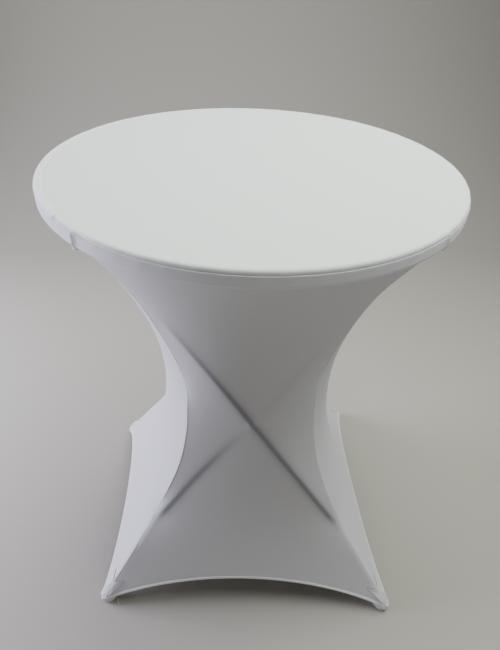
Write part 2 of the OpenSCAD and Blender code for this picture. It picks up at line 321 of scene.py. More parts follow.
class Finishes:
    """Every finish of the object. Those of the record's slots have the names of the slots."""

    # 230 g/m2 stretch knit, two cloths lying flat on the board: almost nothing shows through.
    TOP = KnitFinish("warp_knit_top_panel", "e6ebe8", 0.82, glow=0.04)
    # The same knit turned double over the edge. Its colour is lighter than the top panel's: partly the
    # doubled cloth, partly painted light standing in for the window's light on the band.
    RIM = KnitFinish("warp_knit_rim_band_doubled", "eeeff3", 0.82, glow=0.06)
    # One layer under tension: ribs opened to 0.8 mm, and light comes through.
    SKIRT = KnitFinish("warp_knit_skirt_stretched", "e4e4e8", 0.84, wale=0.0008, glow=0.16)
    # Doubled cloth sewn round the foot.
    POCKET = KnitFinish("warp_knit_pocket_doubled", "e6e6ea", 0.80, wale=0.0006, glow=0.12)
    # Turned and coverstitched hem, denser than the cloth.
    HEM = KnitFinish("coverstitched_hem_binding", "fbfbf9", 0.74, wale=0.0006, glow=0.15)
    # Overlocked seam allowance pressed flat under the cloth.
    SEAM = KnitFinish("overlocked_seam_ridge", "f8f8fb", 0.80, wale=0.0005, glow=0.12)
    # Spun polyester sewing thread.
    THREAD = Finish("spun_polyester_thread", "f2f2ee", 0.7, grain=0.0003, relief=0.00005)
    BOARD = WoodFinish("melamine_faced_particle_board", "a58a66", 0.45, grain=0.004, mottle=0.16)
    EDGING = Finish("moulded_pvc_edging", "77777a", 0.42, grain=0.0012)
    ZINC = Finish("zinc_plated_pressed_steel", "b4b6b8", 0.33, 1.0, grain=0.003, mottle=0.10)
    FASTENER = Finish("zinc_plated_cold_headed_steel", "b9babd", 0.30, 1.0, grain=0.0015, mottle=0.08)
    CLIP = Finish("injection_moulded_white_nylon", "d2d2cf", 0.40, grain=0.001)
    PLUG = Finish("injection_moulded_black_plastic", "1c1c1e", 0.45, grain=0.001)
    SPACER = Finish("turned_natural_nylon", "d9d9d4", 0.38, grain=0.001)
    CAP = Finish("moulded_black_rubber", "18181a", 0.75, grain=0.0009, relief=0.00004)
    TUBE = Finish("powder_coated_steel_tube", "5c5e62", 0.48, grain=0.0006, relief=0.00003)
    FLOOR = Finish("pale_studio_floor", "a9a59c", 0.85, grain=0.02, relief=0.0, mottle=0.01)


# --------------------------------------------------------------------------------------------------
# Mesh helpers


def unit(v: np.ndarray) -> np.ndarray:
    """Returns vectors scaled to length 1."""
    return v / np.maximum(np.linalg.norm(v, axis=-1, keepdims=True), 1e-12)


def grid_normals(grid: np.ndarray, ring: bool) -> np.ndarray:
    """Returns outward normals of a grid whose rows run down or outwards and columns anticlockwise."""
    down = np.gradient(grid, axis=0)
    if ring:
        along = np.roll(grid, -1, axis=1) - np.roll(grid, 1, axis=1)
    else:
        along = np.gradient(grid, axis=1)
    return unit(np.cross(down, along))


def new_object(name: str, points: np.ndarray, faces: Sequence[Sequence[int]],
               finish: Finish) -> bpy.types.Object:
    """Makes a smooth mesh object with one finish and links it to the scene."""
    mesh = bpy.data.meshes.new(name)
    mesh.from_pydata(points.tolist(), [], faces)
    mesh.validate()
    for polygon in mesh.polygons:
        polygon.use_smooth = True
    mesh.materials.append(finish.build())
    made = bpy.data.objects.new(name, mesh)
    bpy.context.scene.collection.objects.link(made)
    log.info("%s: %d points, %d faces", name, len(points), len(faces))
    return made


def write_uv(mesh: bpy.types.Mesh, flat: np.ndarray) -> None:
    """Adds the UV map called cloth, in metres, from one place for each vertex."""
    corner = np.zeros(len(mesh.loops), int)
    mesh.loops.foreach_get("vertex_index", corner)
    layer = mesh.uv_layers.new(name="cloth")
    layer.uv.foreach_set("vector", flat[corner].astype(np.float32).ravel())


def attach(piece: bpy.types.Object, body: Body, node: str | None = None) -> bpy.types.Object:
    """Lets a piece ride on a body and hides the CAD node that it stands for, if one is given."""
    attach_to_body(piece, body.value)
    if node:
        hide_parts(node)
    return piece


def cloth_shell(name: str, outer: np.ndarray, normals: np.ndarray, finish: Finish,
                ring: bool = False, thickness: float = CLOTH_T,
                show: np.ndarray | None = None, planar: bool = False) -> bpy.types.Object:
    """Makes a closed piece of cloth: an outer grid, the same grid one thickness in, and its edges.

    Args:
        name: Name of the piece.
        outer: Rows by columns of points.
        normals: Outward normal of each point.
        finish: Finish of the cloth.
        ring: True if the last column meets the first.
        thickness: Thickness of the cloth.
        show: How dark the painted shadow of a tube is at each point, 0 to 1.
        planar: True if the knit runs straight across the piece, as on a flat disc.

    Returns:
        The mesh object, with a UV map in metres called cloth.
    """
    rows, cols = outer.shape[:2]
    count = rows * cols
    points = np.concatenate([outer.reshape(-1, 3), (outer - normals * thickness).reshape(-1, 3)])
    index = np.arange(count).reshape(rows, cols)
    if ring:
        index = np.hstack([index, index[:, :1]])
    a, b, c, d = index[:-1, :-1], index[1:, :-1], index[1:, 1:], index[:-1, 1:]
    quads = np.stack([a, b, c, d], -1).reshape(-1, 4)
    edges = [index[0], index[-1][::-1]] + ([] if ring else [index[::-1, 0], index[:, -1]])
    walls = np.concatenate([
        np.stack([e[:-1], e[1:], e[1:] + count, e[:-1] + count], -1) for e in edges])
    faces = np.concatenate([quads, quads[:, ::-1] + count, walls])
    made = new_object(name, points, faces.tolist(), finish)
    mesh = made.data
    closed = np.concatenate([outer, outer[:, :1]], axis=1) if ring else outer
    across = np.cumsum(np.linalg.norm(np.diff(closed, axis=1, prepend=closed[:, :1]), axis=-1), axis=1)
    along = np.cumsum(np.linalg.norm(np.diff(closed, axis=0, prepend=closed[:1]), axis=-1), axis=0)
    uv = outer[..., :2] if planar else np.stack([across[rows // 2][None].repeat(rows, 0), along], -1)
    write_uv(mesh, np.tile(uv[:, :cols].reshape(-1, 2), (2, 1)))
    # Painted shadow of the tubes, stored at each point for the cloth's shader.
    shades = np.zeros((rows, cols)) if show is None else show
    attribute = mesh.attributes.new("show_through", "FLOAT", "POINT")
    attribute.data.foreach_set("value", np.tile(shades.ravel(), 2).astype(np.float32))
    directions = np.concatenate([normals.reshape(-1, 3), -normals.reshape(-1, 3)])
    mesh.normals_split_custom_set_from_vertices(directions.tolist())
    return made


def swept(name: str, path: np.ndarray, up: np.ndarray, section: Sequence[tuple[float, float]],
          finish: Finish, closed: bool = False) -> bpy.types.Object:
    """Sweeps a closed cross-section along a path.

    Args:
        name: Name of the piece.
        path: Points of the path.
        up: Direction that stands out of the cloth at each point.
        section: Points (across, up) of the section, anticlockwise seen against the path.
        finish: Finish of the piece.
        closed: True if the path is a loop.

    Returns:
        The mesh object.
    """
    if closed:
        tangent = unit(np.roll(path, -1, axis=0) - np.roll(path, 1, axis=0))
    else:
        tangent = unit(np.gradient(path, axis=0))
    across = unit(np.cross(tangent, up))
    upward = np.cross(across, tangent)
    shape = np.asarray(section, float)
    points = (path[:, None] + across[:, None] * shape[None, :, :1] + upward[:, None] * shape[None, :, 1:])
    rows, sides = points.shape[:2]
    index = np.arange(rows * sides).reshape(rows, sides)
    index = np.hstack([index, index[:, :1]])
    if closed:
        index = np.vstack([index, index[:1]])
    quads = np.stack([index[:-1, :-1], index[:-1, 1:], index[1:, 1:], index[1:, :-1]], -1)
    faces = quads.reshape(-1, 4).tolist()
    if not closed:
        faces += [index[0, :-1][::-1].tolist(), index[-1, :-1].tolist()]
    made = new_object(name, points.reshape(-1, 3), faces, finish)
    runs = np.r_[0, np.cumsum(np.linalg.norm(np.diff(path, axis=0), axis=1))]
    # Each side of the section takes 2 mm of the knit's pattern.
    flat = np.stack(np.broadcast_arrays(np.arange(sides)[None] * 0.002, runs[:, None]), -1)
    write_uv(made.data, flat.reshape(-1, 2))
    return made


def ridge(width: float, height: float, depth: float = 0.0006) -> list[tuple[float, float]]:
    """Returns the section of a rounded ridge that is sunk by depth into the cloth."""
    half = width / 2
    turn = np.linspace(0, math.pi, 7)
    return [(half * math.cos(a), height * math.sin(a)) for a in turn] + [(-half, -depth), (half, -depth)]


def round_section(radius: float, corners: int) -> list[tuple[float, float]]:
    """Returns a round section."""
    turn = np.linspace(0, 2 * math.pi, corners + 1)[:-1]
    return [(radius * math.cos(a), radius * math.sin(a)) for a in turn]


def catmull(points: np.ndarray, count: int) -> np.ndarray:
    """Returns count points spaced evenly along a smooth curve through the given ones."""
    last = len(points) - 1
    t = np.linspace(0, last, 1500)
    i = np.minimum(t.astype(int), last - 1)
    f = (t - i)[:, None]
    q = np.vstack([2 * points[0] - points[1], points, 2 * points[-1] - points[-2]])
    a, b, c, d = q[i], q[i + 1], q[i + 2], q[i + 3]
    fine = b + f / 2 * ((c - a) + f * ((2 * a - 5 * b + 4 * c - d) + f * (3 * b - a - 3 * c + d)))
    return resample(fine, count)


def resample(path: np.ndarray, count: int) -> np.ndarray:
    """Returns count points spaced evenly along a path."""
    run = np.r_[0, np.cumsum(np.linalg.norm(np.diff(path, axis=0), axis=1))]
    at = np.linspace(0, run[-1], count)
    return np.stack([np.interp(at, run, path[:, k]) for k in range(3)], 1)


# --------------------------------------------------------------------------------------------------
# Skirt


class Side(Enum):
    """The four skirt panels, in the order of the net's columns."""

    FRONT = 0
    RIGHT = 1
    BACK = 2
    LEFT = 3


@dataclass(frozen=True)
class Tailoring:
    """How the skirt is cut and how hard it pulls.

    Attributes:
        waist_x: Half the width between the front seams at the waist.
        waist_y: Depth of the seams at the waist. It is less than the tubes' depth, so they press out.
        flare_left: Share of the way from waist to rim of the left seam at three heights.
        flare_right: The same for the right seam, which hangs a little closer.
        flare_depth: The same for the seams' depth.
        tension: Sideways pull of each panel against its lengthwise pull.
        hem: Pull of the elastic hem of each panel.
        clearance: Gap between a tube and the outer face of the cloth.
    """

    waist_x: float = 0.136
    waist_y: float = 0.214
    flare_left: tuple[float, float, float] = (0.58, 0.36, 0.17)
    flare_right: tuple[float, float, float] = (0.55, 0.33, 0.16)
    flare_depth: tuple[float, float, float] = (0.52, 0.28, 0.11)
    tension: tuple[float, float, float, float] = (1.1, 0.78, 1.1, 0.86)
    hem: tuple[float, float, float, float] = (24.5, 42.0, 36.0, 37.0)
    clearance: float = 0.0020


class SkirtNet:
    """The skirt's rest shape: a net of springs in balance, lying on the tubes from outside."""

    # Radius and height of the skirt's sewn top edge, and height of the hem's corners at the feet.
    RIM = (0.3928, 1.0695)
    CORNER_Z = 0.018
    # How much coarser each net is than the last one, and its rounds.
    LEVELS = ((4, 260), (2, 220), (1, 220))
    # Factor of over-relaxation, and the last rounds, which go without it and take out ripples.
    HASTE = 1.82
    CALM = 36
    # How far a seam is drawn back to its own line in each round. Between, it gives way to the tubes.
    SEWN = 0.5

    def __init__(self, cut: Tailoring, across: int = 60, down: int = 120) -> None:
        """Solves the net.

        Args:
            cut: How the skirt is cut.
            across: Columns of each panel.
            down: Rows from rim to hem.
        """
        self.cut = cut
        self.tubes = self._tubes()
        grid = None
        for level, rounds in self.LEVELS:
            self.across, self.down = across // level, down // level
            start = self._start()
            if grid is not None:
                finer = np.repeat(grid, 2, axis=1)
                finer[:, 1::2] = (grid + np.roll(grid, -1, axis=1)) / 2
                start[::2] = finer
                start[1::2] = (finer[:-1] + finer[1:]) / 2
                start[0] = self._start()[0]
            grid = self._relax(start, rounds)
        self.grid = grid
        self.normals = grid_normals(grid, ring=True)

    @staticmethod
    def _tubes() -> list[tuple[np.ndarray, np.ndarray, float]]:
        """Returns both ends and the radius of each thing under the cloth: tubes, bolt heads, foot caps."""
        runs = []
        for side, (depth, splay) in DEPTHS.items():
            for face in (-1, 1):
                top = np.array([-side * RAIL[0], face * depth, RAIL[1]])
                knee = np.array([side * leg_x(KNEE_Z), face * depth, KNEE_Z])
                foot = np.array([side * FOOT[0], face * splay, FOOT[1]])
                cap = foot + unit(knee - foot) * CAP_LEN
                runs += [(top, knee, TUBE_R), (knee, foot, TUBE_R), (cap, foot, CAP_R)]
                if side > 0:
                    # A bolt head stands proud of the outer tube at the crossing.
                    bolt = np.array([0.002, face * (depth + BOLT_PROUD), CROSS_Z])
                    runs.append((bolt * np.array([-1, 1, 1]), bolt, TUBE_R))
        return runs

    def seam(self, side: int, face: int) -> np.ndarray:
        """Returns a seam from the rim to its foot. side is 1 for right and face is -1 for the front."""
        cut = self.cut
        depth, splay = DEPTHS[side]
        flare = cut.flare_right if side > 0 else cut.flare_left
        rim = self.RIM[0] * math.sqrt(0.5)
        points = [(rim, rim, self.RIM[1])]
        for z, wide, deep in zip((0.967, 0.89, 0.813), flare, cut.flare_depth):
            points.append((cut.waist_x + (rim - cut.waist_x) * wide,
                           cut.waist_y + (rim - cut.waist_y) * deep, z))
        points += [(cut.waist_x, cut.waist_y, 0.72), (cut.waist_x + 0.001, cut.waist_y, 0.64)]
        # Below the waist the seam closes in on the leg: how far outside of it, and how deep.
        near = depth + (0.010 if side > 0 else 0.002)
        for z, out, share in ((0.57, 0.101, 0.10), (0.47, 0.061, 0.35), (0.36, 0.033, 0.70),
                              (KNEE_Z, 0.0155, 1.0)):
            points.append((leg_x(z) + out, cut.waist_y + (near - cut.waist_y) * share, z))
        for z, out in ((0.18, 0.0145), (0.10, 0.0150), (self.CORNER_Z, 0.0165)):
            t = (KNEE_Z - z) / (KNEE_Z - FOOT[1])
            points.append((leg_x(KNEE_Z) + (FOOT[0] - leg_x(KNEE_Z)) * t + out,
                           depth + (splay - depth) * t + out, z))
        return catmull(np.array(points), self.down + 1) * np.array([side, face, 1.0])

    def _start(self) -> np.ndarray:
        """Returns the net before it is let go: straight between the seams, round at the rim."""
        seams = [self.seam(-1, -1), self.seam(1, -1), self.seam(1, 1), self.seam(-1, 1)]
        fade = (1 - np.linspace(0, 1, self.down + 1)) ** 2
        self.pinned = np.arange(4) * self.across
        parts = []
        for k in range(4):
            a, b = seams[k], seams[(k + 1) % 4]
            u = np.arange(self.across) / self.across
            turn = np.radians(-135 + 90 * (k + u))
            rim = np.stack([self.RIM[0] * np.cos(turn), self.RIM[0] * np.sin(turn),
                            np.full(self.across, self.RIM[1])], 1)
            bow = rim - a[0] - (b[0] - a[0]) * u[:, None]
            parts.append(a[:, None] + (b - a)[:, None] * u[None, :, None] + bow[None] * fade[:, None, None])
        return np.concatenate(parts, 1)

    def _relax(self, grid: np.ndarray, rounds: int) -> np.ndarray:
        """Lets the net come to balance by over-relaxation, odd and even points in turn."""
        down, cols = self.down, 4 * self.across
        sideways = np.repeat(np.array(self.cut.tension), self.across)[None].repeat(down + 1, 0)
        sideways = sideways * (cols / down / 2) ** 2
        pull = np.repeat(np.array(self.cut.hem), self.across)
        sideways[down] = sideways[down] / 2 + pull * down / 120 * (cols / 240) * (60 / self.across)
        before = np.roll(sideways, 1, axis=1)
        above = np.ones((down + 1, cols))
        above[0] = 0
        below = above[::-1]
        weight = (sideways + before + above + below)[..., None]
        parity = np.add.outer(np.arange(down + 1), np.arange(cols)) % 2
        free = np.ones((down + 1, cols), bool)
        free[0] = free[down, self.pinned] = False
        held = grid.copy()
        sewn = np.zeros((1, cols, 1))
        sewn[:, self.pinned] = self.SEWN
        seams = grid.copy()
        seams[:, self.pinned] = self._start()[:, self.pinned]
        faced = np.zeros((1, cols), bool)
        faced[:, : self.across + 1] = faced[:, 2 * self.across : 3 * self.across + 1] = True
        for step in range(rounds):
            for turn in (0, 1):
                total = sideways[..., None] * np.roll(grid, -1, axis=1)
                total += before[..., None] * np.roll(grid, 1, axis=1)
                total[1:] += grid[:-1]
                total[:-1] += grid[1:]
                haste = self.HASTE if step < rounds - self.CALM else 1.0
                moved = grid + haste * (total / weight - grid)
                moved += (seams - moved) * sewn
                grid = np.where((free & (parity == turn))[..., None], moved, grid)
            if step % 2 or step > rounds - 5:
                grid = self._lift(grid, faced)
                grid[0], grid[down, self.pinned] = held[0], held[down, self.pinned]
        return grid

    def _lift(self, grid: np.ndarray, faced: np.ndarray) -> np.ndarray:
        """Moves points out of the tubes: straight out on the front and back, shortest way on the sides."""
        for a, b, radius in self.tubes:
            reach = radius + self.cut.clearance
            run = b - a
            t = np.clip(((grid - a) @ run) / (run @ run), 0, 1)
            near = a + t[..., None] * run
            away = grid - near
            gap = np.linalg.norm(away, axis=-1)
            if gap.min() > 4 * reach:
                continue
            level = np.array([-run[2], 0.0, run[0]])
            off = np.abs(away @ (level / np.linalg.norm(level)))
            face = math.copysign(1.0, a[1])
            front = near[..., 1] + face * np.sqrt(np.maximum(reach**2 - off**2, 0))
            short = (front - grid[..., 1]) * face
            beside = faced & (t > 0) & (t < 1)
            pressed = beside & (off < reach) & (short > 0) & (short < 0.08)
            touching = (gap < reach) & ~beside
            pushed = near + away / np.maximum(gap, 1e-9)[..., None] * reach
            grid = np.where(touching[..., None], pushed, grid)
            grid[..., 1] = np.where(pressed, front, grid[..., 1])
        return grid

    def show_through(self) -> np.ndarray:
        """Returns how dark the painted shadow of the tubes is at each point of the cloth, 0 to 1."""
        shown = np.zeros(self.grid.shape[:2])
        for a, b, _ in self.tubes:
            if a[2] < 0.7:
                continue
            face, run = math.copysign(1.0, a[1]), b - a
            t = ((self.grid - a) @ run) / (run @ run)
            level = np.array([-run[2], 0.0, run[0]])
            off = (self.grid - a) @ (level / np.linalg.norm(level))
            gap = np.maximum(self.grid[..., 1] * face - abs(a[1]) - TUBE_R - self.cut.clearance, 0)
            # Painted shadow: dark and narrow along the line where the cloth touches a tube, and round it a
            # fainter shade over the tube's own width.
            line = 0.80 * np.exp(-((off / 0.0055) ** 2) - (gap / 0.014) ** 2)
            dim = 0.45 * np.exp(-((off / 0.015) ** 2) - (gap / 0.020) ** 2)
            # The painted shadow fades towards both ends of the tube, where the cloth is in the room's
            # light.
            ends = np.clip((t - 0.16) / 0.25, 0, 1) * np.clip((1.03 - t) / 0.08, 0, 1)
            front = (self.grid[..., 1] * face > 0) & (np.abs(gap) < 0.05)
            shown = np.maximum(shown, (line + dim) * ends * front)
        return shown

    def columns(self, side: Side) -> np.ndarray:
        """Returns the column numbers of a panel, both its seams included."""
        first = side.value * self.across
        return np.arange(first, first + self.across + 1) % (4 * self.across)


class Skirt:
    """Four panels, each in an upper and a lower piece that meet unseen at the waist."""

    NODES = {side: f"panel_{side.name.lower()}" for side in Side}
    # Share of the skirt's length that is above the waist, and radius and height of its tucked edge.
    WAIST = 0.46
    TUCKED = (0.3918, 1.0703)
    # The hem is a thin roll along the cloth's edge and a flat band, 6 mm wide, up both its faces.
    HEM_SECTION = [(0.0010, 0.0011), (0.0019, 0.0003), (0.0019, -0.0011), (0.0010, -0.0019),
                   (-0.0058, -0.0016), (-0.0062, -0.0004), (-0.0058, 0.0006)]
    # Flat cut of each panel above and below the waist: width, length and area. The cut narrows to the
    # waist and its hem is arched, so the area is less than width times length.
    CUTS = {Side.FRONT: ((0.56, 0.47, 0.190), (0.70, 0.53, 0.220)),
            Side.RIGHT: ((0.56, 0.48, 0.235), (0.62, 0.56, 0.250)),
            Side.BACK: ((0.56, 0.47, 0.190), (0.70, 0.54, 0.226)),
            Side.LEFT: ((0.56, 0.48, 0.233), (0.53, 0.56, 0.226))}
    CAPS = {Side.FRONT: ("foot_cap_left_front", "foot_cap_right_front"),
            Side.RIGHT: ("foot_cap_right_front", "foot_cap_right_back"),
            Side.BACK: ("foot_cap_right_back", "foot_cap_left_back"),
            Side.LEFT: ("foot_cap_left_back", "foot_cap_left_front")}

    def __init__(self, net: SkirtNet) -> None:
        self.net = net
        self.waist = round(net.down * self.WAIST)
        # Painted shadow of the tubes on the skirt, 0 to 1 at each point.
        self.shown = net.show_through()
        self.cloths: dict[tuple[Side, str], bpy.types.Object] = {}
        self.sewn: dict[tuple[Side, str], list[bpy.types.Object]] = {}

    @staticmethod
    def _bend(piece: bpy.types.Object, part: str, slot: Slot = Slot.SKIRT) -> None:
        """Bakes a piece's place into its mesh.

        Args:
            piece: The piece.
            part: "upper" or "lower"; both are baked the same way.
            slot: Slot of the record. Not used.
        """
        if part == "upper":
            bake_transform(piece)
        else:
            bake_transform(piece)

    def build(self) -> None:
        """Makes the panels, the seams between them, their hems and the hems' stitches."""
        for side in Side:
            self._panel(side)
            self._hem(side)
        for number, name in enumerate(("left_front", "right_front", "right_back", "left_back")):
            self._seam(Side(number), name)
            for heading in (-1, 1):
                self._patch(number * self.net.across, heading, name)

    def _panel(self, side: Side) -> None:
        net, node = self.net, self.NODES[side]
        cols = net.columns(side)
        tucked = self._tuck(net.grid[0, cols])
        for part, rows in (("upper", slice(0, self.waist + 1)), ("lower", slice(self.waist, None))):
            grid, normals = net.grid[rows][:, cols], net.normals[rows][:, cols]
            # This piece's share of the painted tube shadow.
            shown = self.shown[rows][:, cols]
            if part == "upper":
                grid = np.concatenate([tucked[None], grid])
                normals = np.concatenate([normals[:1], normals])
                shown = np.concatenate([shown[:1], shown])
            piece = cloth_shell(f"{node}_{part}", grid, normals, Finishes.SKIRT, show=shown)
            self._bend(piece, part)
            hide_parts(node)
            self.cloths[side, part] = piece
            self.sewn[side, part] = []

    @staticmethod
    def _tuck(rim: np.ndarray) -> np.ndarray:
        """Returns the cloth's top edge, turned up under the rim band."""
        flat = unit(rim * np.array([1, 1, 0]))
        return flat * Skirt.TUCKED[0] + np.array([0, 0, Skirt.TUCKED[1]])

    def _seam(self, side: Side, name: str) -> None:
        net, column = self.net, side.value * self.net.across
        for part, rows in (("upper", slice(0, self.waist + 1)), ("lower", slice(self.waist, net.down - 2))):
            path, up = net.grid[rows, column], net.normals[rows, column]
            fine = resample(path, len(path) * 2)
            normal = unit(resample(path + up, len(path) * 2) - fine)
            piece = swept(f"seam_{name}_{part}", fine, normal, ridge(0.0026, 0.0004), Finishes.SEAM)
            self.sewn[side, part].append(piece)
            self._bend(piece, part)

    def _patch(self, column: int, heading: int, name: str) -> None:
        """Makes one leaf of a pocket: doubled cloth from the seam outwards, widest at its top.

        Args:
            column: Column of the seam.
            heading: 1 for the panel after the seam, -1 for the one before.
            name: Name of the foot.
        """
        net = self.net
        up, out = np.meshgrid(np.linspace(1, 0, 24), np.linspace(0, 1, 14), indexing="ij")
        face_panel = (column // net.across % 2 == 0) == (heading > 0)
        # Columns are about 12 mm apart here and rows about 9 mm.
        wide = (0.8 + 1.9 * up) if face_panel else (1.2 + 2.0 * up)
        tall = 5.6 - (0.5 if face_panel else -0.6) * out
        rows = net.down - 0.9 - up * tall
        cols = column + heading * out * wide
        low, left = np.floor(rows).astype(int), np.floor(cols).astype(int)
        fr, fc = (rows - low)[..., None], (cols - left)[..., None]

        def sampled(field: np.ndarray) -> np.ndarray:
            a, b = left % field.shape[1], (left + 1) % field.shape[1]
            first = field[low, a] * (1 - fc) + field[low, b] * fc
            return first * (1 - fr) + (field[low + 1, a] * (1 - fc) + field[low + 1, b] * fc) * fr

        points, normals = sampled(net.grid), unit(sampled(net.normals))
        # Creases run slantwise from the foot; they die out at the sewn edges.
        crease = np.abs(np.sin(5.5 * up + 4.0 * out + column)) ** 3 * np.sin(math.pi * out) * (1 - up)
        hollow = np.sin(3.0 * up - 5.0 * out + 0.7 * column) * np.sin(math.pi * out) * np.sin(math.pi * up)
        # Its long edges lie down flat; its top edge stands a cloth's thickness proud.
        proud = 0.0008 + 0.0014 * np.sqrt(np.maximum(np.sin(math.pi * out), 0))
        points = points + normals * (proud + 0.0014 * crease + 0.0008 * hollow)[..., None]
        if heading < 0:
            points, normals = points[:, ::-1], normals[:, ::-1]
        leaf = cloth_shell(f"pocket_leaf_{name}_{'after' if heading > 0 else 'before'}", points,
                           grid_normals(points, ring=False), Finishes.POCKET, thickness=0.0020)
        self._bend(leaf, "lower", Slot.POCKET)
        panel = column // net.across - (heading < 0)
        self.sewn[Side(panel % 4), "lower"].append(leaf)

    def _hem(self, side: Side) -> None:
        net, cols = self.net, self.net.columns(side)
        edge, above = net.grid[-1, cols], net.grid[-2, cols]
        count = 4 * net.across + 1
        path = resample(edge, count)
        inward = unit(resample(above, count) - path)
        normal = unit(np.cross(np.gradient(path, axis=0), inward))
        piece = swept(f"hem_{side.name.lower()}", path, normal, self.HEM_SECTION, Finishes.HEM)
        stitches = self._stitches(side, path, normal, inward)
        for made in (piece, stitches):
            self._bend(made, "lower")
        self.sewn[side, "lower"] += [piece, stitches]

    @staticmethod
    def _stitches(side: Side, path: np.ndarray, up: np.ndarray, inward: np.ndarray) -> bpy.types.Object:
        """Makes the row of topstitches that holds a hem: 2.4 mm long, 3.4 mm apart, 5 mm above its edge."""
        line = path + inward * 0.0048 + up * 0.0006
        total = np.linalg.norm(np.diff(line, axis=0), axis=1).sum()
        count = int(total / 0.0034)
        fine = resample(line, 2 * count + 1)
        lift = unit(resample(line + 0.1 * up, 2 * count + 1) - fine)
        body, faces = [], []
        for k in range(2, count - 2):
            start, end, out = fine[2 * k], fine[2 * k] + 0.7 * (fine[2 * k + 2] - fine[2 * k]), lift[2 * k]
            wide = unit(np.cross(end - start, out)) * 0.0004
            first = len(body)
            body += [start - wide, start + wide, end + wide, end - wide]
            body += [p + out * 0.0005 for p in body[first:]]
            faces += [[first + i for i in f] for f in (
                (0, 1, 2, 3), (7, 6, 5, 4), (4, 5, 1, 0), (5, 6, 2, 1), (6, 7, 3, 2), (7, 4, 0, 3))]
        return new_object(f"hem_stitches_{side.name.lower()}", np.array(body), faces, Finishes.THREAD)


# --------------------------------------------------------------------------------------------------
# Top


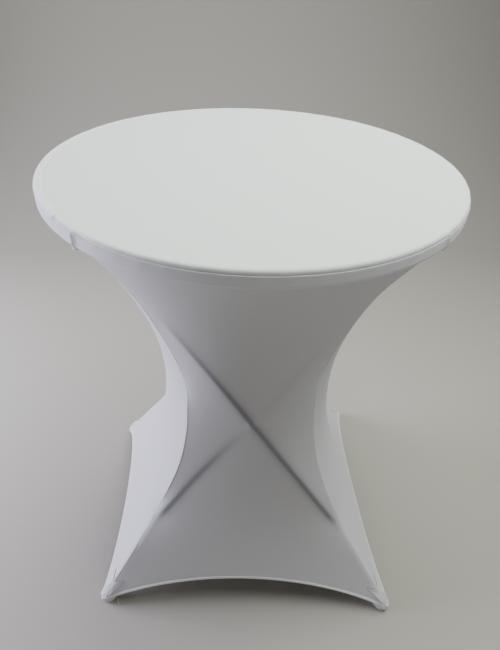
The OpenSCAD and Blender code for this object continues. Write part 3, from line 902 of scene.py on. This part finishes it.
class TopCover:
    """Round top panel, rim band, and the seam between them, which wanders over the edge."""

    # Turn in degrees to how far down past the start of the edge's roll the seam lies.
    WANDER = ((-180, -0.0085), (-150, -0.0078), (-145, -0.004), (-141, 0.001), (-135, 0.0035),
              (-128, 0.0090), (-110, 0.0128), (-60, 0.0131), (-20, 0.0110), (40, 0.004), (80, -0.004),
              (110, -0.0078), (180, -0.0085))
    END = ROLL_R * math.pi / 2 + (TOP_Z - ROLL_R - TUCK_Z) + TUCK_R * math.radians(62)
    CORNERS = (-135, -45, 45, 135)

    def __init__(self) -> None:
        even = np.linspace(-180, 180, 480, endpoint=False)
        dense = np.concatenate([c + np.linspace(-3.2, 3.2, 65) for c in self.CORNERS])
        self.turn = np.unique(np.round(np.concatenate([even, dense, -143 + np.linspace(-4, 4, 33)]), 3))
        angles, downs = zip(*self.WANDER)
        self.seam_at = np.interp(self.turn, angles, downs)

    @staticmethod
    def profile(run: np.ndarray) -> tuple[np.ndarray, np.ndarray, np.ndarray, np.ndarray]:
        """Returns radius, height and outward direction at a distance past the start of the roll."""
        bend = np.clip(run / ROLL_R, 0, math.pi / 2)
        side = np.clip(run - ROLL_R * math.pi / 2, 0, TOP_Z - ROLL_R - TUCK_Z)
        tuck = np.clip((run - ROLL_R * math.pi / 2 - (TOP_Z - ROLL_R - TUCK_Z)) / TUCK_R, 0, math.pi / 2)
        radius = TOP_R - ROLL_R + np.minimum(run, 0) + ROLL_R * np.sin(bend) - TUCK_R * (1 - np.cos(tuck))
        height = TOP_Z - ROLL_R * (1 - np.cos(bend)) - side - TUCK_R * np.sin(tuck)
        lean = bend + tuck
        return radius, height, np.sin(lean), np.cos(lean)

    def lift(self, run: np.ndarray) -> np.ndarray:
        """Returns how far the cloth stands off at each point: overlaps, puckers and a fold."""
        turn = self.turn[None]
        raised = np.zeros(np.broadcast(run, turn).shape)
        for corner, side in zip(self.CORNERS, (-1, 1, -1, 1)):
            off = np.radians(turn - corner) * TOP_R * side
            # Front and back lap over the sides: the cloth climbs over 14 mm and drops in 1 mm.
            step = np.clip((off + 0.014) / 0.012, 0, 1) ** 2 * np.clip((0.0008 - off) / 0.0012, 0, 1)
            raised = raised + 0.0030 * step * np.clip((run - 0.002) / 0.008, 0, 1)
        fold = np.radians(turn + 143) * TOP_R
        raised = raised + 0.0026 * np.exp(-((fold / 0.006) ** 2) - (((run - 0.003) / 0.007) ** 2))
        crease = np.radians(turn + 133.5) * TOP_R
        raised = raised + 0.0012 * np.exp(-((crease / 0.009) ** 2) - (((run - 0.006) / 0.004) ** 2))
        near = np.exp(-(((run - self.seam_at[None]) / 0.010) ** 2))
        # The doubled band stands 0.9 mm proud of the single panel.
        raised = raised + 0.0009 * np.clip((run - self.seam_at[None]) / 0.0015, 0, 1)
        pucker = np.sin(np.radians(turn) * 61) + 0.6 * np.sin(np.radians(turn) * 37 + 1.3)
        return raised + 0.00022 * pucker * near

    def surface(self, run: np.ndarray) -> np.ndarray:
        """Returns the cloth's points at distances past the roll, one column for each turn."""
        radius, height, outward, upward = self.profile(run)
        lift = self.lift(run)
        radius, height = radius + lift * outward, height + lift * upward
        turn = np.radians(self.turn)[None]
        return np.stack([radius * np.cos(turn), radius * np.sin(turn), height], -1)

    def build(self) -> None:
        """Makes the panel, the band, the seam ring and the loose tips at the corners."""
        share = np.r_[np.linspace(0, 0.9, 14), np.linspace(0.92, 1, 12)][:, None]
        reach = TOP_R - ROLL_R
        run = -reach + (self.seam_at[None] + reach) * share
        grid = self.surface(run)
        panel = self._cloth("top_panel", grid, Finishes.TOP, planar=True)
        self._close_middle(panel)
        attach(panel, Body.TOP, "cover_top_panel")
        share = np.r_[0, 0.02, 0.04, 0.06, np.linspace(0.1, 1, 20)][:, None]
        grid = self.surface(self.seam_at[None] + (self.END - self.seam_at[None]) * share)
        band = self._cloth("rim_band", grid, Finishes.RIM)
        attach(band, Body.TOP, "cover_rim_band")
        sewn = [self._seam_ring(), self._band_edge()] + [self._tip(corner) for corner in self.CORNERS]

    @staticmethod
    def _cloth(name: str, grid: np.ndarray, finish: Finish, planar: bool = False) -> bpy.types.Object:
        normals = grid_normals(grid, ring=True)
        if planar:
            normals[:6] = (0.0, 0.0, 1.0)
        return cloth_shell(name, grid, normals, finish, ring=True, planar=planar)

    @staticmethod
    def _close_middle(panel: bpy.types.Object) -> None:
        """Merges the innermost ring, which lies in one point, above and below."""
        mesh = bmesh.new()
        mesh.from_mesh(panel.data)
        bmesh.ops.remove_doubles(mesh, verts=mesh.verts, dist=0.00001)
        mesh.to_mesh(panel.data)
        mesh.free()
        held = panel.data.attributes.get("custom_normal")
        if held:
            panel.data.attributes.remove(held)

    def _seam_ring(self) -> bpy.types.Object:
        run = self.seam_at[None]
        path = self.surface(run)[0]
        _, _, outward, upward = self.profile(run)
        turn = np.radians(self.turn)
        up = np.stack([outward[0] * np.cos(turn), outward[0] * np.sin(turn), upward[0]], -1)
        ring = swept("top_seam", path, up, ridge(0.0030, 0.0009), Finishes.SEAM, closed=True)
        return attach(ring, Body.TOP)

    def _band_edge(self) -> bpy.types.Object:
        """Makes the turned lower edge of the band, a thin roll under the rim."""
        run = np.full((1, len(self.turn)), self.END)
        path = self.surface(run)[0]
        turn = np.radians(self.turn)
        up = np.stack([np.cos(turn), np.sin(turn), np.zeros_like(turn)], -1)
        edge = swept("rim_band_edge", path - up * 0.0006, up, round_section(0.0013, 8), Finishes.RIM,
                     closed=True)
        return attach(edge, Body.TOP)

    def _tip(self, corner: float) -> bpy.types.Object:
        """Makes the loose end of an overlocked seam that peeps out under the rim."""
        turn = math.radians(corner)
        out = np.array([math.cos(turn), math.sin(turn), 0.0])
        along = np.array([-math.sin(turn), math.cos(turn), 0.0])
        rows = []
        for drop, half in ((0.0, 0.0060), (0.004, 0.0050), (0.008, 0.0032), (0.0115, 0.0010)):
            base = out * (TOP_R + 0.0004 + 0.10 * drop) + np.array([0, 0, 1.0765 - drop])
            rows.append([base - along * half, base - along * half * 0.3 + out * 0.0006,
                         base + along * half * 0.4 + out * 0.0004, base + along * half])
        grid = np.array(rows)
        tip = cloth_shell(f"seam_tip_{int(corner) % 360}", grid, grid_normals(grid, ring=False),
                          Finishes.SEAM)
        return attach(tip, Body.TOP)


# --------------------------------------------------------------------------------------------------
# Feet


@dataclass(frozen=True)
class Foot:
    """One foot of the frame and the doubled pocket pulled over it.

    Attributes:
        node: CAD node of the pocket.
        body: CAD body of its leg.
        side: 1 right, -1 left.
        face: -1 front, 1 back.
        folds: Depth of the pocket's creases.
    """

    # Where each crease starts, as a turn round the cup, and how far it turns for each metre up.
    CREASES: ClassVar = ((0.3, 34), (1.4, -28), (2.4, 40), (3.6, -36), (4.7, 30), (5.6, -42))

    node: str
    body: Body
    side: int
    face: int
    folds: float

    @property
    def foot(self) -> np.ndarray:
        """End of the leg's axis."""
        return np.array([self.side * FOOT[0], self.face * DEPTHS[self.side][1], FOOT[1]])

    @property
    def knee(self) -> np.ndarray:
        """Point where the leg splays out."""
        return np.array([self.side * leg_x(KNEE_Z), self.face * DEPTHS[self.side][0], KNEE_Z])

    def build(self, loose: list[bpy.types.Object]) -> None:
        """Makes the cup round the foot cap: rings from the pocket's mouth down to the middle of the sole.

        Args:
            loose: Pieces that hang on the cup. Not used.
        """
        rise = unit(self.knee - self.foot)
        turn = np.linspace(0, 2 * math.pi, 120, endpoint=False)
        rows = []
        for radius, height in self._outline():
            flare = max(0.0, min(1.0, (height - 0.004) / 0.04))
            centre = self.foot + rise * max(height - FOOT[1], 0.0) / rise[2]
            reach = radius * np.ones_like(turn)
            # Towards each hem the cloth leaves the cup and runs on into the panel.
            for heading in (math.pi if self.side > 0 else 0.0, -self.face * math.pi / 2):
                off = np.abs((turn - heading + math.pi) % (2 * math.pi) - math.pi)
                reach = reach + radius * 0.60 * flare * np.exp(-((off / 0.5) ** 2))
            reach = reach + self._creases(turn, height)
            rows.append(np.stack([centre[0] + reach * np.cos(turn), centre[1] + reach * np.sin(turn),
                                  np.full_like(turn, height)], -1))
        grid = np.array(rows[::-1])
        pocket = cloth_shell(f"{self.node}_cup", grid, grid_normals(grid, ring=True), Finishes.POCKET,
                             ring=True)
        attach(pocket, self.body, self.node)

    @staticmethod
    def _outline() -> list[tuple[float, float]]:
        """Returns radius and height of the cup's rings, from the sole outwards and up."""
        sole = [(r, 0.0006) for r in (0.002, 0.005, 0.008)]
        bend = [(0.0100 + 0.0100 * math.sin(a), 0.0106 - 0.0100 * math.cos(a))
                for a in np.linspace(0.15, math.pi / 2, 8)]
        wall = [(0.0200 - 0.0040 * t**2, 0.0106 + 0.040 * t) for t in np.linspace(0.08, 1, 16)]
        return sole + bend + wall

    def _creases(self, turn: np.ndarray, height: float) -> np.ndarray:
        """Returns the creases that run slantwise round the cup."""
        rise = math.sin(min(1.0, max(0.0, (height - 0.003) / 0.045)) * math.pi)
        waves = np.zeros_like(turn)
        for number, (start, slope) in enumerate(self.CREASES):
            off = (turn - start - slope * height + math.pi) % (2 * math.pi) - math.pi
            waves = waves + (1 if number % 2 else 0.7) * np.exp(-((off / 0.14) ** 2))
        return self.folds * waves * rise


class Feet:
    """All four pockets, and the loose thread at the front left one."""

    ALL = (Foot("pocket_right_front", Body.OUTER, 1, -1, 0.0030),
           Foot("pocket_right_back", Body.OUTER, 1, 1, 0.0022),
           Foot("pocket_left_front", Body.INNER, -1, -1, 0.0020),
           Foot("pocket_left_back", Body.INNER, -1, 1, 0.0024))

    def build(self) -> None:
        """Makes the pockets and the thread."""
        tail = self._thread()
        for foot in self.ALL:
            foot.build([tail] if foot.node == "pocket_left_front" else [])

    @staticmethod
    def _thread() -> bpy.types.Object:
        """Makes a 14 mm tail of sewing thread that hangs from the hem beside the foot."""
        knots = np.array([(-0.345, -0.306, 0.024), (-0.342, -0.309, 0.016), (-0.344, -0.312, 0.008),
                          (-0.339, -0.315, 0.002)])
        path = catmull(knots, 24)
        up = np.tile(np.array([0.0, -1.0, 0.2]), (24, 1))
        tail = swept("thread_tail", path, up, round_section(0.0006, 6), Finishes.THREAD)
        return attach(tail, Body.INNER)


# --------------------------------------------------------------------------------------------------
# Studio


class Studio:
    """Floor, lights and camera."""

    # From a standing person's eyes, 37 degrees down, a little to the left of the middle.
    PLACE = (-0.0719, -0.9626, 1.4400)
    RIGHT = (0.9979, -0.0554, 0.0341)
    UP = (0.0064, 0.6049, 0.7963)
    LENS = 28.01

    def build(self) -> None:
        """Makes the studio."""
        self._floor()
        self._world()
        # A wide soft box above and behind, like a ceiling light.
        self._area("soft_box_top", (0.65, 0.30, 2.75), (0.0, 0.0, 0.9), 2.1, 104.0, "f6fbf5")
        # A window on the left.
        self._area("window_left", (-2.3, 0.35, 1.15), (0.0, 0.0, 0.6), 1.3, 104.0, "eae8ff")
        # Weak light back from the room.
        self._area("room_right", (2.3, -0.9, 1.20), (0.0, 0.0, 0.35), 1.0, 5.0, "f2f5f6")
        # A weak fill from high in front, which the table top keeps off the upper skirt.
        self._area("fill_front", (0.1, -2.2, 2.40), (0.0, -0.3, 0.25), 1.2, 6.5, "f4f2f2")
        self._camera()

    @staticmethod
    def _floor() -> None:
        """Makes a floor that curves up into a backdrop behind the table."""
        turn = np.linspace(0, math.pi / 2, 24)
        line = [(-5.0, 0.0), (1.6, 0.0)]
        line += [(1.6 + 1.2 * math.sin(a), 1.2 - 1.2 * math.cos(a)) for a in turn[1:]] + [(2.8, 4.5)]
        points = np.array([[x, y, z] for y, z in line for x in (-7.0, 7.0)])
        faces = [[2 * k, 2 * k + 1, 2 * k + 3, 2 * k + 2] for k in range(len(line) - 1)]
        new_object("studio_floor", points, faces, Finishes.FLOOR)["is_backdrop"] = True

    @staticmethod
    def _world() -> None:
        world = bpy.data.worlds.new("soft_studio")
        bpy.context.scene.world = world
        world.use_nodes = True
        ground = next(n for n in world.node_tree.nodes if n.type == "BACKGROUND")
        ground.inputs["Color"].default_value = linear("c9c9c0")
        ground.inputs["Strength"].default_value = 0.110

    @staticmethod
    def _area(name: str, place: Sequence[float], aim: Sequence[float], size: float, power: float,
              colour: str) -> None:
        data = bpy.data.lights.new(name, "AREA")
        data.shape, data.size, data.energy = "SQUARE", size, power
        data.color = linear(colour)[:3]
        light = bpy.data.objects.new(name, data)
        light.location = place
        light.rotation_euler = (Vector(aim) - Vector(place)).to_track_quat("-Z", "Y").to_euler()
        bpy.context.scene.collection.objects.link(light)

    def _camera(self) -> None:
        data = bpy.data.cameras.new("view")
        data.lens, data.sensor_width = self.LENS, 36.0
        data.clip_start, data.clip_end = 0.05, 50.0
        camera = bpy.data.objects.new("view", data)
        right, up = Vector(self.RIGHT).normalized(), Vector(self.UP).normalized()
        back = right.cross(up).normalized()
        turn = Matrix((right, back.cross(right), back)).transposed()
        camera.matrix_world = Matrix.Translation(self.PLACE) @ turn.to_4x4()
        bpy.context.scene.collection.objects.link(camera)
        bpy.context.scene.camera = camera


# --------------------------------------------------------------------------------------------------
# Assembly


class CoveredTable:
    """The whole object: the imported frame, dressed, and the cover's pieces on it."""

    def __init__(self) -> None:
        self.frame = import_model()
        self.cad_box = [list(c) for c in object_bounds()]

    def dress_frame(self) -> None:
        """Gives each CAD node the finish of its slot."""
        for name, node in self.frame["nodes"].items():
            for held in node.material_slots:
                slot = Slot(held.material.name.split(".")[0])
                held.material = getattr(Finishes, slot.name).build()
            log.info("dressed %s", name)

    def build(self) -> None:
        """Makes every piece of the cover."""
        self.dress_frame()
        TopCover().build()
        Skirt(SkirtNet(Tailoring())).build()
        Feet().build()
        Studio().build()

    def write_sizes(self) -> None:
        """Updates the view layer."""
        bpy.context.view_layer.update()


def main() -> None:
    """Builds the object."""
    logging.basicConfig(level=logging.INFO, format="%(message)s", stream=sys.stdout)
    table = CoveredTable()
    table.build()
    table.write_sizes()


if __name__ == "__main__":
    main()
